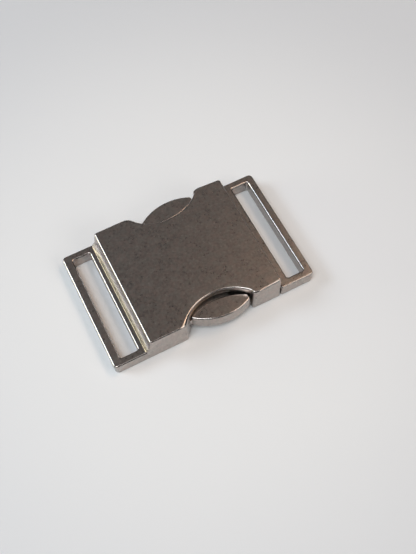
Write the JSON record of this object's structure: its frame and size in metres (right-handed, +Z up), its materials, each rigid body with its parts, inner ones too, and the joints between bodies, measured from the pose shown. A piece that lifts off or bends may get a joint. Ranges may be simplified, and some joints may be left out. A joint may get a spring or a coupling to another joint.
{
  "type": "side release buckle",
  "caption": "Closed metal side release buckle: a flat housing with a strap loop at each end and a pinch lever in a scalloped notch in each side.",
  "frame": {"origin": "middle of the whole buckle's outline, on the surface that it lies on", "axes": "+X from the female half's strap loop to the male half's strap loop, +Y across the buckle, +Z up through the flat plates"},
  "size_m": [0.0472, 0.0308, 0.0075],
  "materials": {
    "casting": "dark gunmetal plating on a zinc alloy casting, satin, with paler worn rims",
    "lever_metal": "dark gunmetal plating on a zinc alloy casting, satin, with paler worn rims",
    "steel": "plain bright steel wire"
  },
  "bodies": {
    "buckle": {"female_housing": "casting", "male_body": "casting", "near_pin": "steel", "far_pin": "steel", "near_spring": "steel", "far_spring": "steel"},
    "near_thumb_lever": {"near_lever": "lever_metal"},
    "far_thumb_lever": {"far_lever": "lever_metal"}
  },
  "joints": [
    {"name": "near_press", "type": "hinge", "parent": "buckle", "child": "near_thumb_lever", "pos_m": [-0.0108, -0.0086, 0.00375], "axis": [0, 0, 1], "range_deg": [0, 12.5], "stiffness_Nm_per_rad": 0.05, "springref_deg": -11.46, "deforming": ["near_spring"]},
    {"name": "far_press", "type": "hinge", "parent": "buckle", "child": "far_thumb_lever", "pos_m": [-0.0108, 0.0086, 0.00375], "axis": [0, 0, -1], "range_deg": [0, 12.5], "stiffness_Nm_per_rad": 0.05, "springref_deg": -11.46, "deforming": ["far_spring"]}
  ]
}
